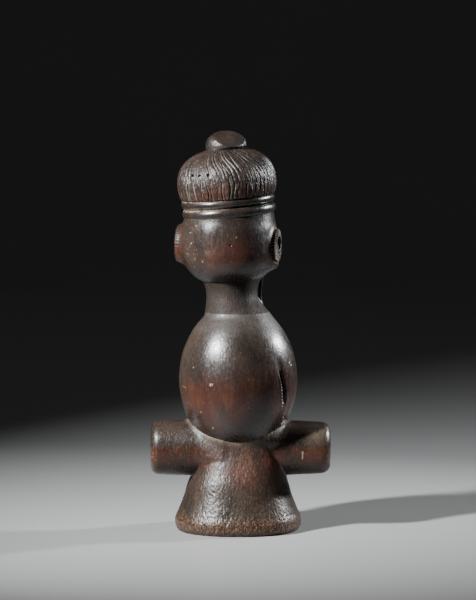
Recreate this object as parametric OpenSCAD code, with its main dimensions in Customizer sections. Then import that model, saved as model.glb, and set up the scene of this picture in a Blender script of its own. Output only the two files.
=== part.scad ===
// Carved wooden fertility doll, with one node for each carved part of the figure.
// Millimetres. +Z is up and the blank face looks along -Y, so the doll's own left side is +X.
// The origin is the centre of the foot's flat underside.

/* [Foot] */
// Widest radius of the flared foot
foot_r = 36.8; // [34:0.1:39]
// Height at which the foot is widest
foot_widest_z = 6; // [4:0.5:8]
// Radius of the waist, where the foot's flare ends under the belly
waist_r = 20.5; // [19:0.1:22]

/* [Belly] */
// Widest radius of the egg-shaped belly
belly_r = 34.1; // [32:0.1:36]
// Height of the belly's widest place
belly_z = 87; // [86:0.5:88]
// Half of the belly's full height
belly_half_h = 44; // [43:0.5:45]
// Height at which the belly ends and the neck starts
shoulder_z = 126; // [125:0.5:127]
// Width of the open split in the belly
split_w = 3.2; // [2:0.1:5]
// Height of the open split in the belly
split_h = 22; // [15:1:28]

/* [Limb stubs] */
// Height of the axis that both stubs share
stub_z = 47; // [46:0.5:48]
// Radius of each stub where it leaves the waist
stub_root_r = 16.4; // [15.5:0.1:17]
// Radius of the right stub's end
right_end_r = 15.5; // [14:0.1:16.4]
// Radius of the left stub's end
left_end_r = 14.3; // [14:0.1:16.4]
// Reach of the right stub from the doll's axis
right_reach = 51; // [48:0.5:55]
// Reach of the left stub from the doll's axis
left_reach = 54; // [48:0.5:57]

/* [Neck] */
// Slimmest radius of the neck
neck_r = 14.2; // [13:0.1:15]
// How much the neck widens at each end
neck_flare = 3; // [2:0.1:3.5]
// Sideways lean of the neck, in degrees
neck_lean = 9; // [6:0.5:11]
// Clear width of the slot in the cord loop
loop_gap = 1.5; // [1:0.1:2]
// Thickness of the strap that closes the slot
loop_strap = 1.8; // [1.5:0.1:2.5]

/* [Head] */
// Widest radius of the head
head_r = 27.4; // [26.6:0.1:28.4]
// Height of the head's widest place
head_z = 162; // [161:0.5:163]
// Depth of the jaw below the widest place
jaw_h = 21; // [20:0.5:22]
// Sideways offset of the head from the doll's axis
head_x = -5; // [-6:0.5:-4]
// Radius of each ear's round plate
ear_r = 9.8; // [9:0.1:10.5]
// Distance of each ear's outer face from the head's axis
ear_reach = 29.6; // [29:0.1:31]
// Turn of the line through both ears about the head's axis, in degrees
ear_turn = -13; // [-16:1:0]

/* [Headdress] */
// Sideways tilt of the headbands, hair and topknot, in degrees
cap_tilt = 5.5; // [3:0.5:7]
// Height at which the lower headband starts, on the head's axis
cap_z = 181.6; // [181:0.1:182.5]
// Height of each headband
band_h = 5.4; // [5:0.1:5.8]
// Outer radius of the headbands
band_r = 27; // [26.8:0.1:28]
// Widest radius of the hair
hair_r = 28.6; // [28.2:0.1:30]
// Number of cuts round the hair
hair_cuts = 44; // [20:1:50]
// Width of each cut
cut_w = 0.9; // [0.5:0.1:1.2]
// Depth of each cut where the hair is widest
cut_depth = 0.8; // [0.5:0.1:1.2]
// Radius of the topknot
knot_r = 11.8; // [10:0.1:13]

/* [Hidden] */
$fn = 96;

sole_r = foot_r - 2.6;
waist_z = 54;
stub_edge = 2.6;
split_turn = -41.5;
split_z = 89;
split_depth = 5;
neck_x = -0.8;
neck_h = 20;
neck_overrun = 0.15;
loop_x = 13.8;
loop_y = 2.5;
loop_w = 4.4;
loop_z = 126;
loop_h = 22;
slot_z = 131.5;
slot_h = 9.5;
cheek_h = 5;
head_top_r = 25.6;
head_top_z = 184;
ear_z = 164.6;
ear_stalk_r = 6;
ear_rim_t = 3;
ear_bowl_r = 6;
ear_bowl_depth = 2.6;
band_edge = 1.7;
hair_z = 2 * band_h;
hair_wide_z = hair_z + 7.8;
hair_top_z = hair_wide_z + 20.6;
hair_base_r = 27;
hair_shift = 0.4;
hair_base_drop = 4;
hair_base_taper = 0.3;
cut_centre_r = 7.8;
knot_shift = 1.8;
knot_edge = 1.5;
knot_z = hair_wide_z + 17.5;
knot_wide_z = hair_top_z + 1;
knot_top_z = hair_top_z + 9.1;
big = 200;

patina = [0.13, 0.08, 0.06];
worn_wood = [0.28, 0.15, 0.09];
hair_wood = [0.20, 0.14, 0.10];

// Quarter of a superellipse from [a, 0] to [0, b]; a power of 2 makes it an ellipse.
function quarter(a, b, power = 2, steps = 9, last = 90) =
    [for (i = [0 : steps]) let (t = last * i / steps)
        [a * pow(cos(t), 2 / power), b * pow(sin(t), 2 / power)]];

function shifted(points, by) = [for (p = points) p + by];
function flipped(points) = [for (i = [len(points) - 1 : -1 : 0]) [points[i][0], -points[i][1]]];

// A solid turned round the Z axis from an outline that starts and ends on the axis.
module turned(outline) {
    rotate_extrude() polygon(outline);
}

// Moves children from the tilted headdress's own frame to the doll's.
module on_head() {
    translate([head_x, 0, cap_z]) rotate([0, -cap_tilt, 0]) children();
}

// ---- Whole shapes, before their neighbours are cut away ----

module foot_block() {
    turned(concat(
        [[0, 0]],
        shifted(flipped(quarter(foot_r - sole_r, foot_widest_z, steps = 5)), [sole_r, foot_widest_z]),
        [[waist_r, waist_z], [0, waist_z]]));
}

module belly_block() {
    egg = quarter(belly_r, belly_half_h, steps = 12);
    translate([0, 0, belly_z]) turned(concat(flipped(egg), [for (i = [1 : len(egg) - 1]) egg[i]]));
}

// A level, tapered bar along +X from the doll's axis, with a rounded end.
module stub_block(reach, end_r) {
    end = shifted(quarter(stub_edge, stub_edge, steps = 5), [end_r - stub_edge, reach - stub_edge]);
    translate([0, 0, stub_z]) rotate([0, 90, 0])
        turned(concat([[0, 0], [stub_root_r, 0]], end, [[0, reach]]));
}

module neck_block() {
    side = [for (i = [0 : 10]) let (t = i / 10)
        [neck_r + neck_flare * pow(2 * t - 1, 2), neck_h * ((1 + 2 * neck_overrun) * t - neck_overrun)]];
    translate([neck_x, 0, shoulder_z]) rotate([0, -neck_lean, 0])
        turned(concat([[0, side[0][1]]], side, [[0, side[10][1]]]));
}

module head_block() {
    translate([head_x, 0, head_z]) turned(concat(
        flipped(quarter(head_r, jaw_h, steps = 10)),
        [[head_r, cheek_h], [head_top_r, head_top_z - head_z], [0, head_top_z - head_z]]));
}

// Everything above the plane where the headdress starts.
module above_head() {
    on_head() translate([-big / 2, -big / 2, 0]) cube(big);
}

module hair_block() {
    translate([hair_shift, 0, 0]) turned(concat(
        [[0, hair_z], [hair_base_r, hair_z], [hair_r - hair_base_taper, hair_wide_z - hair_base_drop]],
        shifted(quarter(hair_r, hair_top_z - hair_wide_z, power = 2.4), [0, hair_wide_z])));
}

// ---- One module for each node ----

module foot() {
    color(worn_wood) difference() {
        foot_block();
        belly_block();
    }
}

module stub(reach, end_r) {
    color(worn_wood) difference() {
        stub_block(reach, end_r);
        foot_block();
        belly_block();
    }
}

module right_stub() {
    mirror([1, 0, 0]) stub(right_reach, right_end_r);
}

module left_stub() {
    stub(left_reach, left_end_r);
}

// A lens-shaped split that runs up and down, where two long cylinders overlap.
module belly_split() {
    side_r = (split_w * split_w + split_h * split_h) / (4 * split_w);
    rotate([0, 0, split_turn]) translate([belly_r - split_depth, 0, split_z]) rotate([0, 90, 0])
        intersection_for(side = [-1, 1])
            translate([0, side * (side_r - split_w / 2), 0]) cylinder(h = belly_r, r = side_r);
}

module belly() {
    color(patina) difference() {
        belly_block();
        translate([-big / 2, -big / 2, shoulder_z]) cube(big);
        belly_split();
    }
}

module neck() {
    color(patina) difference() {
        neck_block();
        translate([-big / 2, -big / 2, shoulder_z - big]) cube(big);
        head_block();
    }
}

// Lug behind the neck's left side, with an upright slot that a cord passes through.
module neck_loop() {
    color(patina) difference() {
        translate([0, loop_y - loop_w / 2, loop_z]) cube([loop_x, loop_w, loop_h]);
        translate([loop_x - loop_strap - loop_gap, loop_y - loop_w, slot_z])
            cube([loop_gap, 2 * loop_w, slot_h]);
        neck_block();
        head_block();
        belly_block();
    }
}

module head() {
    color(patina) difference() {
        head_block();
        above_head();
    }
}

// Round plate on a stalk, with a shallow bowl in its outer face.
module ear(turn) {
    color(patina) difference() {
        translate([head_x, 0, ear_z]) rotate([0, 0, turn]) rotate([0, 90, 0]) turned([
            [0, 0],
            [ear_stalk_r, 0],
            [ear_stalk_r, ear_reach - 2 * ear_rim_t],
            [ear_r, ear_reach - ear_rim_t],
            [ear_r, ear_reach],
            [ear_bowl_r, ear_reach],
            [0, ear_reach - ear_bowl_depth]]);
        head_block();
    }
}

module right_ear() {
    ear(180 + ear_turn);
}

module left_ear() {
    ear(ear_turn);
}

module headband(level) {
    bulge = quarter(band_edge, band_h / 2, steps = 5);
    color(patina) on_head() turned(concat(
        [[0, level * band_h]],
        shifted(flipped(bulge), [band_r - band_edge, (level + 0.5) * band_h]),
        [for (i = [1 : len(bulge) - 1]) bulge[i] + [band_r - band_edge, (level + 0.5) * band_h]],
        [[0, (level + 1) * band_h]]));
}

module lower_headband() {
    headband(0);
}

module upper_headband() {
    headband(1);
}

// An upright cut that follows the hair's round shoulder from the topknot to the headband.
module hair_cut() {
    translate([cut_centre_r, cut_w / 2, hair_wide_z]) rotate([90, 0, 0]) difference() {
        translate([0, -hair_wide_z, 0]) cube([big, big, cut_w]);
        cylinder(h = cut_w, r = hair_r - cut_depth - cut_centre_r);
    }
}

module hair() {
    color(hair_wood) on_head() difference() {
        hair_block();
        translate([hair_shift, 0, 0]) for (i = [0 : hair_cuts - 1])
            rotate([0, 0, 360 * i / hair_cuts]) hair_cut();
        knot_block();
    }
}

module knot_block() {
    top = quarter(knot_r, knot_top_z - knot_wide_z, power = 2.2, steps = 8);
    translate([knot_shift, 0, 0]) turned(concat(
        [[0, knot_z], [knot_r - knot_edge, knot_z]],
        shifted(top, [0, knot_wide_z])));
}

module topknot() {
    color(patina) on_head() knot_block();
}

foot();
right_stub();
left_stub();
belly();
neck();
neck_loop();
head();
right_ear();
left_ear();
lower_headband();
upper_headband();
hair();
topknot();
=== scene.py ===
"""A carved wooden fertility doll.

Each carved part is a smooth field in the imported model's frame. Its surface is meshed, settled onto
the field, cut off from its neighbours and then given its tool marks. Lengths are in millimetres
until a mesh is finished. Left and right are the doll's own: +X is its left, and -Y is its front.
"""

import math

import bmesh
import bpy
import numpy as np
import openvdb as vdb
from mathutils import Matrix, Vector


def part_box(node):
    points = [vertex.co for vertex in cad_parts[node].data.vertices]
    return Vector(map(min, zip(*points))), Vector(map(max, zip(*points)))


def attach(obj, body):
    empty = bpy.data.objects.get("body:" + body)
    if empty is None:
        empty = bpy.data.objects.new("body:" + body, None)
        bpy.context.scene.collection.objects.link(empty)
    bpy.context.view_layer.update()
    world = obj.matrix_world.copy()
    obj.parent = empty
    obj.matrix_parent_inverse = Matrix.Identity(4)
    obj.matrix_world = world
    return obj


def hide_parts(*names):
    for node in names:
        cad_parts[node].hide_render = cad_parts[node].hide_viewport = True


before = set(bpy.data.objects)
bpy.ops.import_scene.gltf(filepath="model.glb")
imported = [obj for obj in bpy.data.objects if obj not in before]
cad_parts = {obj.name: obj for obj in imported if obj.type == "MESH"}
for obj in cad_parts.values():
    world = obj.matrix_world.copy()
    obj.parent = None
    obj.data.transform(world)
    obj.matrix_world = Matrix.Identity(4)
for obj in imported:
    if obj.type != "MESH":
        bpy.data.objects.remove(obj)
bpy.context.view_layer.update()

MM = 0.001
# Scale on every piece's grid spacing; a value above 1 meshes everything on a coarser grid
COARSE = 1.0


def cad(node):
    """Lowest and highest corner of a CAD node, in millimetres."""
    low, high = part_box(node)
    return np.array(low) / MM, np.array(high) / MM


# ---- Driving dimensions, from the frame where it has them ----

FOOT_R = cad("foot")[1][0]
# Height up the foot and waist, and the radius there as a share of the foot's widest radius
FOOT_OUTLINE = [(-4, 0.93), (0, 0.958), (3, 0.986), (6, 0.99), (11, 0.936), (19, 0.852),
                (29, 0.766), (37, 0.675), (46, 0.59), (58, 0.55), (70, 0.5)]
# The foot is a little square in plan, and the waist squarer still and set a little to the left
FOOT_POWER = 2.3
WAIST_POWER = 2.8
WAIST_SHIFT = 1.9

BELLY_LOW, BELLY_HIGH = cad("belly")
BELLY_R = BELLY_HIGH[0]
BELLY_HALF_H = 44.0
BELLY_Z = BELLY_LOW[2] + BELLY_HALF_H
SHOULDER_Z = BELLY_HIGH[2]

STUB_Z = 47.0
STUB_ROOT_R = 16.5
STUB_END_R = {-1: 15.6, 1: 14.4}
STUB_REACH = {-1: -cad("right_stub")[0][0], 1: cad("left_stub")[1][0]}
# The stubs part from the foot on two slanting planes, along the valleys beside the waist
STUB_SEAM = (14.0, 46.0)
STUB_SEAM_WAY = (0.75, 0.66)

# Height above the shoulder, and where the neck's right and left sides stand there
NECK_OUTLINE = [(-9, -19.6, 17.5), (-3, -19.2, 16.6), (0, -18.9, 15.4), (5, -18.4, 13.0),
                (9, -18.2, 11.3), (13, -18.5, 11.1), (17, -19.8, 12.1), (20, -21.0, 13.6),
                (26, -22.5, 16.0)]
# Height above the shoulder, and how far left the thin lug beside the neck stands there
LOOP_LINE = [(-1, 15.2), (3, 14.0), (6, 13.2), (10, 12.9), (14, 13.1), (18, 13.7), (24, 14.5)]
# How far back the lug's middle is, and half its thickness and depth
LOOP_BACK = 2.5
LOOP_HALF_THICK = 0.8
LOOP_HALF_DEEP = 2.1

HEAD_LOW, HEAD_HIGH = cad("head")
HEAD_X = (HEAD_LOW[0] + HEAD_HIGH[0]) / 2
HEAD_R = (HEAD_HIGH[0] - HEAD_LOW[0]) / 2
JAW_H = 21.0
HEAD_Z = HEAD_LOW[2] + JAW_H
HEAD_POWER = 2.2
# Height above the top of the jaw, and how much more than HEAD_R the skull's radius is there
SKULL_OUTLINE = [(-2, 0), (0, 0), (8, -0.05), (13, -0.4), (18, -1.3), (24, -2.2), (30, -2.5)]

EAR_LOW, EAR_HIGH = cad("left_ear")
EAR_Z = (EAR_LOW[2] + EAR_HIGH[2]) / 2
EAR_R = (EAR_HIGH[2] - EAR_LOW[2]) / 2
EAR_TURN = math.radians(-13)
EAR_REACH = {-1: 30.0, 1: 29.1}
# How much each ear is filled out at its front and top, where it runs into the head
EAR_FILL = {-1: 5.0, 1: 0.6}
# Where the bowl sits in each ear's face: back and up from the middle
EAR_BOWL = (2.4, 1.0)
EAR_NOTCHES = 44
NOTCH_DEPTH = {-1: 0.08, 1: 0.65}

CAP_TILT = math.radians(5.5)
CAP_ORIGIN = np.array([HEAD_X, 0.0, 182.2])
# Lower and upper edge of each headband, above the plane where the headdress starts
BANDS = {"lower_headband": (-0.8, 5.3), "upper_headband": (5.3, 10.6)}
BAND_R = 26.9
BAND_BULGE = 2.9
BAND_POWER = 2.15
HAIR_Z = 10.3
HAIR_R = 28.5
HAIR_SHIFT = 0.4
HAIR_WIDE_Z = HAIR_Z + 7.7
HAIR_CROWN_H = 20.6
HAIR_TOP_Z = HAIR_WIDE_Z + HAIR_CROWN_H
HAIR_POWER = 2.4
# Height above the hair's widest place, and how much more than HAIR_R its radius is there
HAIR_SIDE = [(-12, -2.6), (-8.4, -1.7), (-4, -0.4), (0, 0), (2, 0)]
# Degrees that the lower strokes turn round the hair for each millimetre up it
LOWER_LEAN = 0.25
KNOT_SHIFT = 1.8
KNOT_R = 11.7

# The open split: degrees round the belly's left side, and how many it leans for each millimetre down
SPLIT_TURN = 49.5
SPLIT_LEAN = 0.33
SPLIT_DEPTH = 2.6
FIBRE_PITCH = 1.9

# The pitted place on the right cheek
PITTED_AT = (-26, -18, 165)
PITTED_SIZE = (6, 14, 18)

# Spacing of the grid that each piece is meshed on
VOXEL = {"foot": 0.5, "right_stub": 0.5, "left_stub": 0.5, "belly": 0.55, "neck": 0.5,
         "neck_loop": 0.25, "head": 0.5, "right_ear": 0.3, "left_ear": 0.3,
         "lower_headband": 0.45, "upper_headband": 0.45, "hair": 0.34, "topknot": 0.35}


# ---- Fields: negative inside, positive outside ----

def length(v):
    return np.sqrt((v * v).sum(-1))


def rise(x, start, end):
    """Smooth step from 0 at start to 1 at end."""
    t = np.clip((x - start) / (end - start), 0, 1)
    return t * t * (3 - 2 * t)


def join(a, b, blend):
    """Union with a fillet."""
    h = np.maximum(blend - np.abs(a - b), 0) / blend
    return np.minimum(a, b) - h * h * blend / 4


def overlap(a, b, blend):
    """Intersection with a rounded edge."""
    return -join(-a, -b, blend)


def ellipsoid(p, centre, radii):
    q = p - np.asarray(centre)
    radii = np.asarray(radii, float)
    size = length(q / radii)
    return size * (size - 1) / np.maximum(length(q / radii**2), 1e-6)


def curve(t, points):
    """Smooth curve through a few (t, value) points."""
    x, y = np.array(points, float).T
    slope = np.gradient(y, x)
    i = np.clip(np.searchsorted(x, t) - 1, 0, len(x) - 2)
    h = x[i + 1] - x[i]
    s = np.clip((t - x[i]) / h, 0, 1)
    rest = 1 - s
    ends = y[i] * rest * rest * (1 + 2 * s) + y[i + 1] * s * s * (3 - 2 * s)
    return ends + h * s * rest * (slope[i] * rest - slope[i + 1] * s)


LATTICE = 32
TABLES = {}


def lumps(p, size, seed):
    """Smooth random values from -1 to 1 that change over about size millimetres."""
    if seed not in TABLES:
        TABLES[seed] = np.random.default_rng(seed).uniform(-1, 1, (LATTICE,) * 3)
    q = p / size + 7.3
    cell = np.floor(q)
    f = q - cell
    f = f * f * (3 - 2 * f)
    near = cell.astype(int) % LATTICE
    far = (near + 1) % LATTICE
    total = 0
    for corner in range(8):
        side = [(corner >> k) & 1 for k in range(3)]
        index = [(far if side[k] else near)[..., k] for k in range(3)]
        weight = 1
        for k in range(3):
            weight = weight * (f[..., k] if side[k] else 1 - f[..., k])
        total = total + weight * TABLES[seed][tuple(index)]
    return total


def bump_at(p, centre, size):
    """A soft spot that falls from 1 at its centre, with its own size along each axis."""
    return np.exp(-(((p - np.array(centre, float)) / np.array(size, float)) ** 2).sum(-1))


def gradient(field, p, h=0.12):
    """Gradient of a field at many points, from four samples round each."""
    total = np.zeros_like(p)
    for way in ((1, -1, -1), (-1, -1, 1), (-1, 1, -1), (1, 1, 1)):
        offset = np.array(way, float)
        total += offset * field(p + h * offset)[:, None]
    return total / (4 * h)


def belly_field(p):
    return ellipsoid(p, (0, 0, BELLY_Z), (BELLY_R, BELLY_R, BELLY_HALF_H))


def neck_field(p):
    up = p[:, 2] - SHOULDER_Z
    low_x = curve(up, [(z, a) for z, a, b in NECK_OUTLINE])
    high_x = curve(up, [(z, b) for z, a, b in NECK_OUTLINE])
    side = np.hypot(p[:, 0] - (low_x + high_x) / 2, p[:, 1]) - (high_x - low_x) / 2
    return np.maximum(side, np.abs(up - 6) - 16)


def torso_field(p):
    """Belly and neck, with a wider fillet on the left of the shoulder."""
    flare = 1.6 + 5.0 * rise(p[:, 0], -6, 12)
    return join(belly_field(p), neck_field(p), flare)


def stub_field(p, side):
    along = p[:, 0] * side
    share = along / STUB_REACH[side]
    radius = STUB_ROOT_R + (STUB_END_R[side] - STUB_ROOT_R) * share**2
    bar = np.hypot(p[:, 1], p[:, 2] - STUB_Z) - radius
    end = along - (STUB_REACH[side] - 0.35) + 0.25 * (1 - (bar / radius + 1) ** 2)
    return np.maximum(overlap(bar, end, 6.0), -along)


def hips_field(p):
    """Foot, waist and both stubs, hollowed where the belly sits on them."""
    radius = curve(p[:, 2], FOOT_OUTLINE) * FOOT_R
    waist = rise(p[:, 2], 26, 42)
    across = p[:, 0] - WAIST_SHIFT * waist
    power = FOOT_POWER + (WAIST_POWER - FOOT_POWER) * waist
    round_size = (np.abs(across) ** power + np.abs(p[:, 1]) ** power) ** (1 / power)
    bell = overlap((round_size - radius) * 0.94, -p[:, 2], 1.2)
    stubs = np.minimum(stub_field(p, -1), stub_field(p, 1))
    right_merged = rise(p[:, 2], 35.5, 44.5) * rise(-across, 2, 11)
    left_merged = rise(p[:, 2], 47, 54)
    merged = np.where(across < 0, right_merged, left_merged)
    solid = join(bell, stubs, 1.2 + 7.0 * merged)
    around_belly = solid - 0.5 * np.exp(-(np.maximum(belly_field(p), 0) / 1.6) ** 2)
    return np.maximum(around_belly, -(belly_field(p) + 1.5))


def ear_frame(p, side):
    """Distances from the head's axis outwards, back and up, for one ear."""
    out = np.array([math.cos(EAR_TURN), math.sin(EAR_TURN), 0]) * side
    back = np.array([-math.sin(EAR_TURN), math.cos(EAR_TURN), 0])
    q = p - np.array([HEAD_X, 0, EAR_Z])
    return q @ out, q @ back, q[:, 2]


def disc(out, radial, radius, inner, outer, blend):
    """A round plate between two distances out from the head's axis."""
    return overlap(radial - radius, np.abs(out - (inner + outer) / 2) - (outer - inner) / 2, blend)


def ear_field(p, side):
    out, back, up = ear_frame(p, side)
    radial = np.hypot(back * 1.06, up)
    reach = EAR_REACH[side]
    plate = disc(out, radial, EAR_R, reach - 2.1, reach, 1.1)
    flange = disc(out, radial, EAR_R - 1.6, reach - 5.4, reach - 4.3, 0.8)
    filled = 0.7 * EAR_FILL[side] * rise(0.5 * up - back, -5, 2)
    root = EAR_R - 3.4 + 2.6 * rise(reach - out, 3, 10) + filled
    stem = np.maximum(radial - np.minimum(root, EAR_R + 0.2), np.abs(out - reach + 7) - 5.7) * 0.9
    solid = join(join(plate, stem, 0.4 + 0.5 * EAR_FILL[side]), flange, 0.5)
    local = np.stack([out - reach, back, up], -1)
    bowl = ellipsoid(local, (0, *EAR_BOWL), (3.0, 4.0, 3.8))
    dish = ellipsoid(local, (1.6, 0, 0.6), (2.3, 6.6, 7.4))
    solid = overlap(overlap(solid, -dish, 0.5), -bowl, 0.5)
    under_skin = head_field(p) + 0.15
    fillet = 1.0 + EAR_FILL[side] * rise(0.5 * up - back, -7, 0)
    blended = join(solid, under_skin, fillet)
    return np.maximum(blended, np.maximum(-under_skin - 0.7, solid - 5))


def to_cap(p):
    """Points in the tilted headdress's own frame."""
    q = p - CAP_ORIGIN
    c, s = math.cos(CAP_TILT), math.sin(CAP_TILT)
    return np.stack([q[:, 0] * c + q[:, 2] * s, q[:, 1], q[:, 2] * c - q[:, 0] * s], -1)


def head_field(p):
    q = p - np.array([HEAD_X, 0, HEAD_Z])
    radial = np.hypot(q[:, 0], q[:, 1])
    jaw = (radial / HEAD_R) ** HEAD_POWER + (np.abs(q[:, 2]) / JAW_H) ** HEAD_POWER
    jaw = (jaw ** (1 / HEAD_POWER) - 1) * (HEAD_R + JAW_H) / 2
    skull = radial - HEAD_R - curve(q[:, 2], SKULL_OUTLINE)
    head = np.where(q[:, 2] < 0, jaw, skull)
    for side in (-1, 1):
        out, back, up = ear_frame(p, side)
        root = disc(out, np.hypot(back, up), EAR_R - 1.8, 0, EAR_REACH[side] - 4.6, 1.2)
        head = join(head, root, 5.0)
    return np.maximum(head, to_cap(p)[:, 2] - 1.2)


def band_field(p, name):
    """A full ring with a rounded front."""
    q = to_cap(p)
    low, high = BANDS[name]
    across = np.maximum(np.hypot(q[:, 0], q[:, 1]) - (BAND_R - BAND_BULGE), 0) / BAND_BULGE
    up = np.abs(q[:, 2] - (low + high) / 2) / ((high - low) / 2 + 0.1)
    return ((across**BAND_POWER + up**BAND_POWER) ** (1 / BAND_POWER) - 1) * BAND_BULGE


def hair_field(p):
    q = to_cap(p)
    radial = np.hypot(q[:, 0] - HAIR_SHIFT, q[:, 1])
    above = q[:, 2] - HAIR_WIDE_Z
    side = radial - HAIR_R - curve(above, HAIR_SIDE)
    crown = (radial / HAIR_R) ** HAIR_POWER + (np.maximum(above, 0) / HAIR_CROWN_H) ** HAIR_POWER
    crown = (crown ** (1 / HAIR_POWER) - 1) * (HAIR_R + HAIR_CROWN_H) / 2
    return overlap(np.where(above < 0, side, crown), HAIR_Z - 0.1 - q[:, 2], 0.6)


def knot_field(p):
    """A low button whose top is worn to a sloping facet, undercut at its front left."""
    q = to_cap(p) - np.array([KNOT_SHIFT, 0, HAIR_TOP_Z + 1])
    undercut = 2.4 * rise(-q[:, 2], 0.5, 3.0) * rise(q @ np.array([0.75, -0.66, 0]), 2, 9)
    radial = np.hypot(q[:, 0], q[:, 1] * 1.04) + undercut
    height = np.where(q[:, 2] > 0, 8.7, 9.0)
    power = np.where(q[:, 2] > 0, 2.2, 3.2)
    bun = ((radial / KNOT_R) ** power + (np.abs(q[:, 2]) / height) ** power) ** (1 / power)
    bun = (bun - 1) * 9
    worn = q @ np.array([0.30, -0.50, 0.81]) - 6.6 + 0.6 * np.exp(-(length(q[:, :2]) / 6) ** 2)
    bun = overlap(bun, worn, 0.9)
    return np.maximum(bun, -q[:, 2] - 5.5)


def loop_field(p):
    up = p[:, 2] - SHOULDER_Z
    across = np.abs(p[:, 0] - curve(up, LOOP_LINE)) - LOOP_HALF_THICK
    deep = np.abs(p[:, 1] - LOOP_BACK) - LOOP_HALF_DEEP
    strap = np.maximum(overlap(across, deep, 1.2), np.abs(up - 10.5) - 11)
    neighbours = np.minimum(torso_field(p), head_field(p))
    return np.maximum(join(strap, neighbours, 1.6), np.maximum(strap - 1.2, -neighbours - 0.4))


# ---- Relief: how far the finished surface stands out, in millimetres ----

def hand_cut(p):
    """The unevenness that a knife leaves all over."""
    fine = 0.016 * lumps(p * (1, 1, 0.4), 2.6, 3) + 0.006 * lumps(p * (1, 1, 0.5), 1.2, 4)
    return 0.22 * lumps(p, 17, 1) + 0.10 * lumps(p, 7, 2) + fine


def spots(p, places):
    """How far each point is inside a few small round spots, from 0 to 1."""
    total = np.zeros(len(p))
    for place in places:
        centre, radius = np.array(place[:3]), place[3]
        total = np.maximum(total, np.exp(-(length(p - centre) / radius) ** 4))
    return total


def nicks(p, places):
    """Small chipped places, each a shallow dent."""
    return -0.28 * spots(p, places)


def on_front(field, marks):
    """Puts marks of (x, z, radius) on the part of a field's surface that faces the front."""
    depth = np.arange(-45, 0, 0.05)
    placed = []
    for x, z, radius in marks:
        line = np.column_stack([np.full(len(depth), x), depth, np.full(len(depth), z)])
        y = depth[np.argmax(field(line) < 0)]
        placed.append((x, y, z, radius))
    return placed


# Small marks of use on the front of each part
WORMHOLES = on_front(hair_field, [
    (-26.1, 205.9, 0.75), (-22.1, 205.9, 0.65), (-17.0, 206.4, 0.75), (19.0, 195.3, 0.7)])
FACE_HOLE = on_front(head_field, [(-4.3, 166.6, 0.5)])
FACE_NICKS = on_front(head_field, [
    (-1.2, 171.2, 0.5), (-26.7, 167.1, 0.6), (-27.2, 172.9, 0.45),
    (-28.6, 160.4, 0.45), (-20.4, 157.0, 0.45), (-24.0, 177.0, 0.4)])
BELLY_NICKS = on_front(belly_field, [
    (-15.8, 87.3, 0.7), (-14.9, 87.4, 0.6), (-21.3, 70.6, 0.6), (-14.4, 61.6, 0.7),
    (-32.0, 84.2, 0.4), (-31.2, 84.0, 0.45), (-30.4, 83.8, 0.4), (29.5, 98.6, 0.5),
    (30.4, 97.0, 0.5), (-25.5, 96.0, 0.35), (6.0, 74.0, 0.35)])
HIP_NICKS = on_front(hips_field, [(36.8 + 0.05 * i, 42.6 + 0.9 * i, 0.6) for i in range(5)])


def from_split(p):
    """Distances across the split and down from the belly's middle."""
    around = np.degrees(np.arctan2(p[:, 0], -p[:, 1]))
    down = BELLY_Z - p[:, 2]
    return np.radians(around - SPLIT_TURN - SPLIT_LEAN * down) * BELLY_R, down


def split_ledge(p):
    """The step of torn fibres along the split's front edge, from 0 to 1."""
    across, down = from_split(p)
    return rise(down, -7, -2) * rise(down, 21, 7) * np.exp(-((across + 0.5) / 1.1) ** 4)


def split_crack(p):
    """The open part of the split, from 0 to 1. It moves off the ledge on the way down."""
    across, down = from_split(p)
    middle = 0.2 + 1.3 * rise(down, -7, 4)
    return rise(down, -9.5, -5) * rise(down, 14, 6) * np.exp(-((across - middle) / 1.0) ** 4)


def belly_relief(p):
    across, down = from_split(p)
    valley = 0.75 * rise(down, -17, -6) * rise(down, 16, 8) * np.exp(-((across - 0.3) / 2.4) ** 2)
    torn = (0.35 + 0.3 * np.cos(down * 2 * math.pi / FIBRE_PITCH)) * split_ledge(p)
    lip = 0.45 * rise(down, -8, -1) * rise(down, 17, 9) * np.exp(-((across + 2.1) / 0.8) ** 2)
    opened = SPLIT_DEPTH * split_crack(p)
    return hand_cut(p) - valley - torn - opened + lip + nicks(p, BELLY_NICKS)


def head_relief(p):
    pitted = np.maximum(lumps(p, 0.9, 15) - 0.45, 0) * bump_at(p, PITTED_AT, PITTED_SIZE)
    jaw_corner = 2.6 * bump_at(p, (21, -4, 153.4), (5, 11, 3.2))
    hole = 0.9 * spots(p, FACE_HOLE)
    return hand_cut(p) + jaw_corner - 0.35 * pitted + nicks(p, FACE_NICKS) - hole


def gouges(p):
    """Short upright gouge marks, mostly level with a few deeper dents."""
    fine = np.minimum(lumps(p * (1, 1, 0.55), 0.85, 12), 0.3)
    dents = np.maximum(lumps(p * (1, 1, 0.6), 1.6, 14) - 0.3, 0)
    return fine - 0.7 * dents


def foot_relief(p):
    height = p[:, 2] + 2.5 * lumps(p, 6, 11)
    rough = 0.045 + 0.05 * rise(np.abs(p[:, 0]), 30, 18) + 0.19 * rise(height, 15, 4)
    rough = rough * rise(p[:, 2], 0, 1.5)
    uneven = np.minimum(hand_cut(p), 0.15) * rise(p[:, 2], 0, 2)
    return uneven + rough * gouges(p) + nicks(p, HIP_NICKS)


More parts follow.
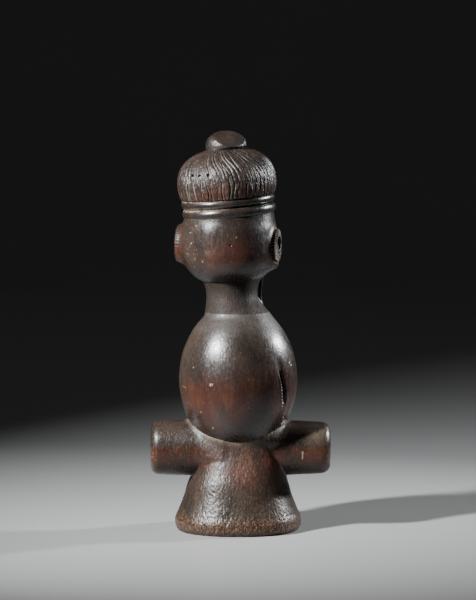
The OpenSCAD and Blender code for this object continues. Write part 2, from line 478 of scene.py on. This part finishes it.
def strokes(around, up, count, seed, start, end, width, depth):
    """Uneven knife strokes down the hair: each has its own place, wander, length and weight."""
    chance = np.random.default_rng(seed)
    total = np.zeros_like(around)
    for i in range(count):
        middle = 360 * (i + chance.uniform(-0.3, 0.3)) / count
        wave = chance.uniform(0, 2 * math.pi, 2)
        sway = chance.uniform(0.4, 1.6, 2)
        low = start + chance.uniform(-1, 1) * 3.2
        high = end + chance.uniform(-1, 1) * 3.2
        weight = chance.uniform(0.35, 1.0)
        wide = width * chance.uniform(0.75, 1.3)
        bend = sway[0] * np.sin(up / 4.3 + wave[0]) + sway[1] * np.sin(up / 2.1 + wave[1]) * 0.6
        swirl = -0.045 * np.maximum(up, 0) ** 2
        off = (around - middle - bend - swirl + 180) % 360 - 180
        reach = np.maximum(HAIR_R * np.cos(np.clip(up / 33, 0, 1.45)), 4)
        line = np.exp(-(np.radians(off) * reach / wide) ** 2)
        ends = rise(up, low - 1.2, low + 1.2) * rise(up, high + 1.6, high - 1.6)
        total = np.maximum(total, line * ends * weight * depth)
    return total


def hair_cuts(p):
    """Depth of the knife strokes at each point."""
    q = to_cap(p)
    around = np.degrees(np.arctan2(q[:, 1], q[:, 0] - HAIR_SHIFT))
    up = q[:, 2] - HAIR_WIDE_Z
    upper = strokes(around, up, count=58, seed=21, start=4.0, end=20.0, width=0.42, depth=0.60)
    lower = strokes(around - LOWER_LEAN * up, up,
                    count=54, seed=22, start=-10.5, end=3.5, width=0.46, depth=0.75)
    scratches = strokes(around + LOWER_LEAN * up, up,
                        count=90, seed=24, start=-8.0, end=16.0, width=0.28, depth=0.30)
    return np.maximum(np.maximum(upper, lower) * (1 + 0.35 * lumps(p, 2.2, 25)), scratches)


def hair_relief(p):
    pitted = 0.07 * lumps(p, 1.3, 23) + 0.05 * lumps(p, 0.75, 26)
    return hand_cut(p) - hair_cuts(p) + pitted - 1.2 * spots(p, WORMHOLES)


def band_relief(p):
    return 0.14 * lumps(p, 9, 31) + 0.05 * lumps(p, 3, 32)


def knot_relief(p):
    q = to_cap(p)
    combed = lumps(q * (0.35, 1, 1), 1.1, 41) * rise(q[:, 2], HAIR_TOP_Z + 9, HAIR_TOP_Z + 5)
    return 0.16 * lumps(p, 6, 42) + 0.13 * combed


def ear_notches(p, side):
    """Where the ear's face is ringed (0 to 1), and where that ring is notched (0 to 1)."""
    out, back, up = ear_frame(p, side)
    back, up = back - EAR_BOWL[0], up - EAR_BOWL[1]
    notch = 0.5 - 0.5 * np.cos(np.arctan2(up, back) * EAR_NOTCHES + 1.2 * lumps(p, 5, 51))
    face = rise(out, EAR_REACH[side] - 3.0, EAR_REACH[side] - 2.2)
    ring = rise(np.hypot(back, up), 4.6, 5.4) * face
    return ring, notch * ring


def ear_relief(p, side):
    return hand_cut(p) - NOTCH_DEPTH[side] * ear_notches(p, side)[1]


def ear_painted_land_light(p, side):
    """Painted light: paler wood on the lands between the notches round the left ear's face."""
    ring, notch = ear_notches(p, side)
    return 0.35 * ring * rise(notch, 0.45, 0.15) if side > 0 else nothing(p)


def ear_painted_shade(p, side):
    """Black painted into the bowl and into the left ear's notches, as their shade."""
    out, back, up = ear_frame(p, side)
    across = np.hypot(back - EAR_BOWL[0], up - EAR_BOWL[1])
    bowl = rise(across, 4.3, 3.7) * rise(out, EAR_REACH[side] - 9, EAR_REACH[side] - 6)
    notched = 0.8 * rise(ear_notches(p, side)[1], 0.5, 0.9) if side > 0 else 0
    return 0.97 * np.maximum(bowl, notched)


# ---- Meshing ----

def sample(field, low, high, voxel):
    """Surface of a field as points and quads, from values on a regular grid."""
    counts = np.ceil((high - low) / voxel).astype(int) + 1
    axes = [low[k] + voxel * np.arange(counts[k]) for k in range(3)]
    plane = np.stack(np.meshgrid(axes[1], axes[2], indexing="ij"), -1).reshape(-1, 2)
    values = np.empty(counts, np.float32)
    for i, x in enumerate(axes[0]):
        points = np.column_stack([np.full(len(plane), x), plane])
        values[i] = field(points).reshape(counts[1:])
    grid = vdb.FloatGrid(float(values.max()))
    grid.copyFromArray(values / voxel)
    points, quads = grid.convertToQuads()
    return low + voxel * points.astype(float), quads.astype(int)


def settle(field, p, steps=4):
    """Moves points onto the field's surface."""
    for _ in range(steps):
        slope = gradient(field, p)
        step = field(p) / np.maximum((slope**2).sum(-1), 1e-3)
        p = p - slope * np.clip(step, -0.6, 0.6)[:, None]
    return p


def points_of(vertices):
    flat = np.empty(len(vertices) * 3)
    vertices.foreach_get("co", flat)
    return flat.reshape(-1, 3)


def quad_mesh(name, points, quads):
    mesh = bpy.data.meshes.new(name)
    mesh.vertices.add(len(points))
    mesh.vertices.foreach_set("co", points.ravel())
    mesh.loops.add(quads.size)
    mesh.loops.foreach_set("vertex_index", quads.ravel())
    mesh.polygons.add(len(quads))
    mesh.polygons.foreach_set("loop_start", np.arange(0, quads.size, 4))
    mesh.update(calc_edges=True)
    return mesh


def trim(mesh, cuts, refine):
    """Cuts the mesh flat at each (point, outward normal) and closes it.

    Where refine says that the detail is fine, the faces are split first.
    """
    work = bmesh.new()
    work.from_mesh(mesh)
    if work.calc_volume(signed=True) < 0:
        bmesh.ops.reverse_faces(work, faces=work.faces)
    if refine is not None:
        work.verts.ensure_lookup_table()
        fine = refine(np.array([v.co for v in work.verts]))
        edges = [e for e in work.edges if fine[e.verts[0].index] and fine[e.verts[1].index]]
        bmesh.ops.subdivide_edges(work, edges=edges, cuts=1, use_grid_fill=True)
    for point, normal in cuts:
        everything = list(work.verts) + list(work.edges) + list(work.faces)
        made = bmesh.ops.bisect_plane(
            work, geom=everything, dist=1e-4, plane_co=point, plane_no=normal, clear_outer=True)
        rim = [e for e in made["geom_cut"] if isinstance(e, bmesh.types.BMEdge)]
        bmesh.ops.edgeloop_fill(work, edges=rim)
    bmesh.ops.recalc_face_normals(work, faces=work.faces)
    work.to_mesh(mesh)
    work.free()


def carve(name, field, relief, low, high, voxel, cuts=(), refine=None, marks=()):
    """One carved piece: a closed mesh on its field, with its relief, its normals and its wear marks."""
    points, quads = sample(field, np.array(low, float), np.array(high, float), voxel * COARSE)
    mesh = quad_mesh(name, settle(field, points), quads)
    trim(mesh, cuts, refine)
    points = points_of(mesh.vertices)
    if refine is not None:
        points = settle(field, points, 2)
    outward = gradient(field, points)
    outward /= np.maximum(length(outward), 1e-6)[:, None]
    tilt = gradient(relief, points)
    tilt -= outward * (tilt * outward).sum(-1)[:, None]
    normals = outward - tilt
    normals /= length(normals)[:, None]
    for mark, source in marks:
        layer = mesh.attributes.new(mark, "FLOAT", "POINT")
        layer.data.foreach_set("value", source(points).astype(np.float32))
    points = (points + outward * relief(points)[:, None]) * MM
    mesh.vertices.foreach_set("co", points.ravel())
    mesh.polygons.foreach_set("use_smooth", np.ones(len(mesh.polygons), bool))
    mesh.update()
    mesh.normals_split_custom_set_from_vertices(normals)
    piece = bpy.data.objects.new(name, mesh)
    bpy.context.scene.collection.objects.link(piece)
    return piece


# ---- Materials ----

class Nodes:
    """Short calls for building one material's nodes."""

    def __init__(self, name):
        self.material = bpy.data.materials.new(name)
        self.material.use_nodes = True
        self.tree = self.material.node_tree
        self.shader = self.tree.nodes["Principled BSDF"]
        self.place = self.tree.nodes.new("ShaderNodeTexCoord").outputs["Object"]

    def add(self, kind, inputs=(), **settings):
        node = self.tree.nodes.new(kind)
        for key, value in settings.items():
            setattr(node, key, value)
        for key, value in dict(inputs).items():
            self.put(node.inputs[key], value)
        return node

    def put(self, socket, value):
        if isinstance(value, bpy.types.NodeSocket):
            self.tree.links.new(value, socket)
        else:
            socket.default_value = value

    def math(self, operation, a, b=0.0, clamp=False):
        return self.add("ShaderNodeMath", {0: a, 1: b}, operation=operation, use_clamp=clamp).outputs[0]

    def stretched(self, scale):
        node = self.add("ShaderNodeMapping", {"Vector": self.place, "Scale": scale})
        return node.outputs[0]

    def noise(self, scale, stretch=(1, 1, 1), detail=4.0, rough=0.55, twist=0.0):
        node = self.add("ShaderNodeTexNoise", {
            "Vector": self.stretched(stretch), "Scale": scale, "Detail": detail,
            "Roughness": rough, "Distortion": twist})
        return node.outputs["Fac"]

    def ramp(self, value, low, high, to_low=0.0, to_high=1.0):
        node = self.add("ShaderNodeMapRange", {
            "Value": value, "From Min": low, "From Max": high, "To Min": to_low, "To Max": to_high},
            interpolation_type="SMOOTHSTEP")
        return node.outputs[0]

    def mix(self, share, a, b):
        node = self.add("ShaderNodeMix", {}, data_type="RGBA")
        for key, value in ((0, share), (6, a), (7, b)):
            self.put(node.inputs[key], value)
        return node.outputs[2]

    def mark(self, name):
        return self.add("ShaderNodeAttribute", {}, attribute_name=name).outputs["Fac"]


BLACK_PATINA = (0.0085, 0.0072, 0.0068, 1)
BROWN_PATINA = (0.021, 0.0148, 0.0118, 1)
RED_WOOD = (0.040, 0.0100, 0.0050, 1)
ORANGE_WOOD = (0.070, 0.022, 0.0085, 1)
TAN_WOOD = (0.22, 0.130, 0.066, 1)
# Pale dust, and painted highlight on a few parts
PALE_DUST_AND_PAINTED_HIGHLIGHT = (0.25, 0.195, 0.135, 1)
# Soot, and painted shade in the split, the holes, the ear's bowl and notches and a strip down the neck
DEEP_BLACK = (0.002, 0.0016, 0.0014, 1)
COAT_ROUGHNESS = 0.28
# Height of the wood's grain, in metres
BUMP_HEIGHT = 0.0004
FLOOR_TONES = ((0.27, 0.268, 0.265, 1), (0.285, 0.283, 0.28, 1))


def wood(name, red_share, tan_share, rough_base, bump_share, coat, gloss):
    """Old handled wood: black patina, worn to red-brown in places, with fine upright grain."""
    n = Nodes(name)
    grain = n.noise(1000, (1, 1, 0.06), 4, 0.6, 0.2)
    streak = n.noise(260, (1, 1, 0.07), 4, 0.6, 0.4)
    cloud = n.noise(45, (1, 1, 0.8), 4, 0.55, 0.6)
    patch = n.noise(75, (1, 1, 0.6), 5, 0.6, 0.5)
    speck = n.noise(1300, (1, 1, 0.6), 2, 0.5)
    pores = n.noise(700, (1, 1, 0.5), 3, 0.6)
    wear = n.mark("wear")

    base = n.mix(n.ramp(cloud, 0.36, 0.68), BLACK_PATINA, BROWN_PATINA)
    base = n.mix(n.math("MULTIPLY", n.ramp(streak, 0.5, 0.75), 0.22), base, BROWN_PATINA)
    reddish = n.math("MULTIPLY", wear, n.ramp(patch, 0.34, 0.62, 0.3, 1.0), clamp=True)
    reddish = n.math("MULTIPLY", reddish, red_share)
    warm = n.mix(n.ramp(streak, 0.46, 0.74), RED_WOOD, ORANGE_WOOD)
    base = n.mix(reddish, base, warm)
    base = n.mix(n.math("MULTIPLY", n.ramp(grain, 0.58, 0.76), 0.10), base, TAN_WOOD)
    base = n.mix(n.math("MULTIPLY", n.ramp(speck, 0.60, 0.72), 0.16), base, TAN_WOOD)
    tan = n.math("MULTIPLY", n.mark("bare"), n.ramp(speck, 0.44, 0.62))
    base = n.mix(n.math("MULTIPLY", tan, tan_share), base, TAN_WOOD)
    settled = n.ramp(n.noise(300, (1, 1, 0.5), 3), 0.30, 0.58, 0.35, 1.0)
    # The dust mark is dust on most parts, and painted highlight and sheen on the stubs and the left
    # ear's notched ring
    dust = n.math("MULTIPLY", n.mark("dust"), settled)
    base = n.mix(dust, base, PALE_DUST_AND_PAINTED_HIGHLIGHT)
    # The dark mark is soot on the neck, and painted shade in the split, the holes, the ear's bowl and
    # notches and a strip down the neck
    base = n.mix(n.mark("dark"), base, DEEP_BLACK)
    n.put(n.shader.inputs["Base Color"], base)

    rough = n.math("ADD", rough_base, n.math("MULTIPLY", n.ramp(patch, 0.3, 0.7), 0.10))
    rough = n.math("ADD", rough, n.math("MULTIPLY", n.ramp(pores, 0.4, 0.65), 0.10))
    rough = n.math("ADD", rough, n.math("MULTIPLY", n.math("ADD", tan, dust), 0.35))
    rough = n.math("ADD", rough, n.math("MULTIPLY", n.mark("dull"), 0.34), clamp=True)
    n.put(n.shader.inputs["Roughness"], rough)
    n.put(n.shader.inputs["Specular IOR Level"], gloss)
    n.put(n.shader.inputs["Coat Weight"], coat)
    n.put(n.shader.inputs["Coat Roughness"], COAT_ROUGHNESS)

    height = n.math("MULTIPLY", grain, 0.5)
    height = n.math("ADD", height, n.math("MULTIPLY", streak, 0.35))
    height = n.math("ADD", height, n.math("MULTIPLY", pores, 0.5))
    height = n.math("ADD", height, n.math("MULTIPLY", speck, 0.45))
    bump = n.add("ShaderNodeBump", {
        "Height": height, "Strength": bump_share, "Distance": BUMP_HEIGHT})
    n.put(n.shader.inputs["Normal"], bump.outputs["Normal"])
    return n.material


def floor_material():
    n = Nodes("pale_floor")
    tone = n.ramp(n.noise(3.0, (1, 1, 1), 2), 0.3, 0.7)
    n.put(n.shader.inputs["Base Color"], n.mix(tone, *FLOOR_TONES))
    n.put(n.shader.inputs["Roughness"], 0.5)
    return n.material


# ---- Marks on the wood: 0 is untouched patina, 1 is fully worn, bare, dusty, black or dull; some of the dust is painted highlight and much of the black painted shade ----

def belly_wear(p):
    front = rise(-p[:, 1], -5, 16)
    waist = np.exp(-((p[:, 2] - BELLY_Z + 9 + 5 * lumps(p, 7, 70)) / 12) ** 2)
    low_right = bump_at(p, (-12, -28, 66), (14, 18, 12))
    by_split = bump_at(p, (24, -24, 82), (9, 14, 20))
    return np.clip((0.8 * waist + 0.4 * low_right + 0.5 * by_split) * front + 0.06, 0, 1)


def belly_dust(p):
    flank = 0.06 * bump_at(p, (-33, -8, 104), (9, 18, 26))
    fibres = 0.05 * split_ledge(p) * (1 - split_crack(p))
    return np.maximum(0.7 * spots(p, BELLY_NICKS), neck_dust(p)) + flank + fibres


# Black painted into the open part of the split, as its shade
def belly_painted_crack_shade(p):
    return rise(split_crack(p), 0.35, 0.7)


def head_wear(p):
    return np.clip(0.85 * bump_at(p, (-4, -26, 160), (14, 16, 10)) + 0.05, 0, 1)


def head_dust(p):
    pitted = rise(lumps(p, 0.9, 15), 0.5, 0.85) * bump_at(p, PITTED_AT, PITTED_SIZE)
    film = 0.03 * bump_at(p, (-28, -14, 166), (7, 14, 16))
    return np.maximum(0.7 * spots(p, FACE_NICKS), 0.35 * pitted) + film


# Black painted into the small hole in the face, as its shade
def head_painted_hole_shade(p):
    return spots(p, FACE_HOLE)


def hip_wear(p):
    """Red-brown wear in a band along the stubs, on the waist's front and round the rim."""
    belt = rise(STUB_Z + 4 - p[:, 2], 0, 5) * rise(p[:, 2] - STUB_Z + 9, -2, 2)
    low = belt * rise(np.abs(p[:, 0]), 10, 24)
    front = bump_at(p, (2, -24, 40), (20, 16, 13))
    rim = rise(p[:, 2], 12, 5)
    return np.clip(low + 0.95 * front + 0.6 * rim + 0.05, 0, 1)


def foot_bare(p):
    """Bare wood round the foot's rim and the stubs' ends, and thinly elsewhere."""
    height = p[:, 2] + 3.0 * lumps(p, 7, 61)
    rim = 0.38 * rise(height, 14, 5) * rise(p[:, 2], 0.8, 3)
    reach = np.where(p[:, 0] < 0, STUB_REACH[-1], STUB_REACH[1])
    ends = 0.4 * rise(np.abs(p[:, 0]), reach - 6, reach - 1) * rise(p[:, 2], STUB_Z + 6, STUB_Z - 2)
    return 0.08 + np.maximum(rim, ends)


def hip_dust_and_painted_highlight(p):
    """Pale dirt in the crease round the belly and on the nicks, a faint paler film low on the flare,
    and painted sheen over the tops of the stubs, brightest as a painted highlight on the top of the
    left stub near its end.
    """
    crease = np.exp(-(np.maximum(belly_field(p), 0) / 1.5) ** 2)
    # Painted sheen: a little lighter over the tops of the stubs and hips
    film = rise(p[:, 2], STUB_Z - 5, STUB_Z + 6) * (0.7 + 0.3 * lumps(p, 5, 65))
    flare = 0.04 * rise(p[:, 2], 38, 26)
    # Painted highlight on the top of the left stub, near its end
    stub_end_painted_highlight = 0.16 * bump_at(p, (44, -9, STUB_Z + 10), (8, 8, 6))
    return np.clip(0.30 * crease + 0.02 * film + flare + stub_end_painted_highlight + 0.8 * spots(p, HIP_NICKS), 0, 1)


def plain_wear(p):
    return np.clip(0.12 + 0.3 * lumps(p, 9, 62), 0, 1)


def ear_wear(p):
    return np.clip(0.3 + 0.3 * lumps(p, 5, 66) + 0.4 * rise(EAR_Z - p[:, 2], -2, 3), 0, 1)


def knot_wear(p):
    return 0.2 * rise(to_cap(p)[:, 2], HAIR_TOP_Z + 3, HAIR_TOP_Z + 6)


def nothing(p):
    return np.zeros(len(p))


def neck_dust(p):
    """Dull dirt over the neck, with a pale line where it meets the shoulder."""
    line = np.exp(-((p[:, 2] - SHOULDER_Z + 0.6) / 1.1) ** 2) * rise(lumps(p, 4, 64), -0.6, 0.6)
    film = rise(p[:, 2], SHOULDER_Z - 22, SHOULDER_Z)
    return 0.02 * film + 0.07 * line


def neck_soot_and_painted_shade(p):
    """Soot over the neck, and painted shade in a strip down its front left, where neither lamp reaches.
    """
    return 0.25 + 0.65 * bump_at(p, (4.8, -12, SHOULDER_Z + 9), (2.0, 8, 14))


def neck_dull(p):
    """The neck and shoulder have lost their polish."""
    return (0.75 + 0.35 * lumps(p, 4, 69)) * rise(p[:, 2], SHOULDER_Z - 16, SHOULDER_Z - 2)


def belly_dull(p):
    return np.maximum(neck_dull(p), split_ledge(p))


def hip_dull(p):
    """The waist and hips are duller than the foot's flare and the stubs."""
    return 0.42 * rise(p[:, 2], 27, 39) * (1 - 0.85 * rise(np.abs(p[:, 0]), 16, 26))


def hair_dust(p):
    """Tan dust in the deeper strokes, uneven along them, and a thin mottle between them."""
    patchy = 0.30 + 0.25 * lumps(p, 3.0, 67)
    return patchy * rise(hair_cuts(p), 0.20, 0.5) + 0.07 * rise(lumps(p, 1.4, 68), 0.0, 0.7)


def band_dust(p):
    """Tan dust in the grooves beside the headbands, on the right side."""
    up = to_cap(p)[:, 2]
    edge = np.min([np.abs(up - height) for pair in BANDS.values() for height in pair], axis=0)
    return 0.5 * rise(edge, 1.5, 0.6) * rise(-p[:, 0], 2, 20) * rise(lumps(p, 2.5, 71), -0.8, 0.1)


# Black painted into the wormholes, as their shade
def hair_painted_hole_shade(p):
    return spots(p, WORMHOLES)


def hair_wear(p):
    low = rise(to_cap(p)[:, 2], HAIR_WIDE_Z + 5, HAIR_Z + 2)
    return np.clip(0.1 + 0.8 * low * rise(lumps(p, 8, 63), -0.5, 0.5), 0, 1)


# ---- The pieces ----

# The dust mark also carries painted highlight on a few parts, and the dark mark painted shade
def wood_marks(wear, bare=nothing, dust=nothing, dark=nothing, dull=nothing):
    return (("wear", wear), ("bare", bare), ("dust", dust), ("dark", dark), ("dull", dull))


def keep(piece, node, material):
    piece.data.materials.append(material)
    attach(piece, "root")
    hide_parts(node)


def near_split(p):
    across, down = from_split(p)
    return (np.abs(across) < 4) & (np.abs(down - 1) < 18)


def stub_seam(side, way):
    """A point on the plane between the foot and one stub, and the plane's normal."""
    (x, z), (across, up) = STUB_SEAM, STUB_SEAM_WAY
    return (side * x, 0, z), (way * side * across, 0, way * up)


def make_pieces():
    dark = wood("dark_patina_wood", red_share=0.85, tan_share=0.5, rough_base=0.215,
                bump_share=0.35, coat=0.04, gloss=0.45)
    matt = wood("dull_neck_wood", red_share=0.5, tan_share=0.5, rough_base=0.30,
                bump_share=0.9, coat=0.0, gloss=0.16)
    worn = wood("worn_patina_wood", red_share=0.95, tan_share=0.8, rough_base=0.23,
                bump_share=0.55, coat=0.0, gloss=0.37)
    banded = wood("polished_band_wood", red_share=0.6, tan_share=0.5, rough_base=0.21,
                  bump_share=0.25, coat=0.08, gloss=0.45)
    knotted = wood("worn_knot_wood", red_share=0.9, tan_share=0.5, rough_base=0.36,
                   bump_share=0.55, coat=0.0, gloss=0.35)
    combed = wood("hair_wood", red_share=0.6, tan_share=0.5, rough_base=0.32,
                  bump_share=0.7, coat=0.0, gloss=0.32)
    wide = 4.0

    seam = (0, 0, SHOULDER_Z)
    low = (-BELLY_R - wide, -BELLY_R - wide, BELLY_LOW[2] - wide)
    high = (BELLY_R + wide, BELLY_R + wide, SHOULDER_Z + 3)
    belly_marks = wood_marks(
        belly_wear, dust=belly_dust, dark=belly_painted_crack_shade, dull=belly_dull)
    piece = carve("belly", torso_field, belly_relief, low, high, VOXEL["belly"],
                  cuts=[(seam, (0, 0, 1))], refine=near_split, marks=belly_marks)
    keep(piece, "belly", dark)

    neck_low, neck_high = cad("neck")
    low = (neck_low[0] - wide, neck_low[1] - wide, SHOULDER_Z - 3)
    high = (neck_high[0] + wide, neck_high[1] + wide, neck_high[2] + 8)
    neck_marks = wood_marks(plain_wear, dust=neck_dust, dark=neck_soot_and_painted_shade, dull=neck_dull)
    piece = carve("neck", torso_field, hand_cut, low, high, VOXEL["neck"],
                  cuts=[(seam, (0, 0, -1))], marks=neck_marks)
    keep(piece, "neck", matt)

    low = (-FOOT_R - wide, -FOOT_R - wide, -wide)
    high = (FOOT_R + wide, FOOT_R + wide, STUB_Z + STUB_ROOT_R + wide)
    hip_marks = wood_marks(hip_wear, bare=foot_bare, dust=hip_dust_and_painted_highlight, dull=hip_dull)
    piece = carve("foot", hips_field, foot_relief, low, high, VOXEL["foot"],
                  cuts=[stub_seam(-1, 1), stub_seam(1, 1)], marks=hip_marks)
    keep(piece, "foot", worn)
    for name, side in (("right_stub", -1), ("left_stub", 1)):
        ends = sorted((-side * wide, side * (STUB_REACH[side] + wide)))
        low = (ends[0], -26, 25)
        high = (ends[1], 26, STUB_Z + STUB_ROOT_R + wide)
        piece = carve(name, hips_field, foot_relief, low, high, VOXEL[name],
                      cuts=[stub_seam(side, -1)], marks=hip_marks)
        keep(piece, name, worn)

    head_marks = wood_marks(head_wear, dust=head_dust, dark=head_painted_hole_shade)
    piece = carve("head", head_field, head_relief, HEAD_LOW - (wide, wide, 3),
                  HEAD_HIGH + (wide, wide, 6), VOXEL["head"], marks=head_marks)
    keep(piece, "head", dark)
    for name, side in (("right_ear", -1), ("left_ear", 1)):
        ear_low, ear_high = cad(name)
        ear_marks = wood_marks(
            ear_wear, dust=lambda p: ear_painted_land_light(p, side), dark=lambda p: ear_painted_shade(p, side),
            dull=lambda p: ear_painted_shade(p, side))
        piece = carve(name, lambda p: ear_field(p, side), lambda p: ear_relief(p, side),
                      ear_low - 9, ear_high + 9, VOXEL[name], marks=ear_marks)
        keep(piece, name, matt if side > 0 else dark)
    loop_low, loop_high = cad("neck_loop")
    piece = carve("neck_loop", loop_field, band_relief, loop_low - wide, loop_high + wide,
                  VOXEL["neck_loop"], marks=wood_marks(plain_wear))
    keep(piece, "neck_loop", matt)

    for name in BANDS:
        band_low, band_high = cad(name)
        piece = carve(name, lambda p: band_field(p, name), band_relief, band_low - wide,
                      band_high + wide, VOXEL[name], marks=wood_marks(nothing, dust=band_dust))
        keep(piece, name, banded)
    hair_low, hair_high = cad("hair")
    hair_marks = wood_marks(hair_wear, dust=hair_dust, dark=hair_painted_hole_shade)
    piece = carve("hair", hair_field, hair_relief, hair_low - wide, hair_high + wide,
                  VOXEL["hair"], marks=hair_marks)
    keep(piece, "hair", combed)
    knot_low, knot_high = cad("topknot")
    piece = carve("topknot", knot_field, knot_relief, knot_low - wide, knot_high + wide,
                  VOXEL["topknot"], marks=wood_marks(knot_wear))
    keep(piece, "topknot", knotted)


# ---- Stage, light and camera ----

CAMERA_BACK = 2.15
CAMERA_UP = 0.345
CAMERA_DOWN = math.radians(5.64)
CAMERA_LENS = 224.7
SENSOR_WIDTH = 36
# What the lights face: the middle of the doll, in metres
LIGHT_TARGET = (0, 0, 0.12)
WORLD_COLOUR = (0.9, 0.92, 0.95, 1)
WORLD_STRENGTH = 0.035


def make_camera():
    data = bpy.data.cameras.new("camera")
    data.lens = CAMERA_LENS
    data.sensor_width = SENSOR_WIDTH
    camera = bpy.data.objects.new("camera", data)
    camera.location = (0, -CAMERA_BACK, CAMERA_UP)
    camera.rotation_euler = (math.pi / 2 - CAMERA_DOWN, 0, 0)
    bpy.context.scene.collection.objects.link(camera)
    bpy.context.scene.camera = camera


def make_floor():
    """A wide pale sweep that runs flat under the doll and curves up far behind it."""
    flat, bend, tall, half = 1.5, 1.2, 3.0, 4.0
    steps = 24
    path = [(-3.0, 0.0), (flat, 0.0)]
    for i in range(1, steps + 1):
        turn = math.pi / 2 * i / steps
        path.append((flat + bend * math.sin(turn), bend * (1 - math.cos(turn))))
    path.append((flat + bend, tall))
    mesh = bpy.data.meshes.new("floor")
    points = [(side * half, y, z) for y, z in path for side in (-1, 1)]
    faces = [(2 * i, 2 * i + 1, 2 * i + 3, 2 * i + 2) for i in range(len(path) - 1)]
    mesh.from_pydata(points, [], faces)
    mesh.polygons.foreach_set("use_smooth", [True] * len(faces))
    mesh.materials.append(floor_material())
    floor = bpy.data.objects.new("floor", mesh)
    bpy.context.scene.collection.objects.link(floor)


def softbox(name, direction, distance, width, height, power, colour, spread=180):
    """An area light that faces the doll's middle, with its spread in degrees."""
    target = np.array(LIGHT_TARGET)
    way = np.array(direction, float) / np.linalg.norm(direction)
    data = bpy.data.lights.new(name, "AREA")
    data.shape = "RECTANGLE"
    data.size, data.size_y = width, height
    data.energy = power
    data.spread = math.radians(spread)
    data.color = colour
    light = bpy.data.objects.new(name, data)
    light.location = target + way * distance
    light.rotation_euler = Vector(-way).to_track_quat("-Z", "Y").to_euler()
    bpy.context.scene.collection.objects.link(light)


def make_light():
    """Two small soft lights, named for the camera's left and right, and a wide one above."""
    softbox("left_softbox", (-0.68, -0.49, 0.545), distance=0.7, width=0.04, height=0.10,
            power=2.35, colour=(0.95, 0.975, 1.0), spread=55)
    softbox("right_softbox", (0.86, 0.33, 0.38), distance=0.8, width=0.05, height=0.07,
            power=1.0, colour=(0.96, 0.98, 1.0), spread=50)
    softbox("top_softbox", (0.0, 0.3, 1.0), distance=1.6, width=1.0, height=1.0,
            power=0.7, colour=(1.0, 0.99, 0.97))
    world = bpy.data.worlds.new("studio")
    world.use_nodes = True
    world.node_tree.nodes["Background"].inputs["Color"].default_value = WORLD_COLOUR
    world.node_tree.nodes["Background"].inputs["Strength"].default_value = WORLD_STRENGTH
    bpy.context.scene.world = world


make_camera()
make_pieces()
make_floor()
make_light()
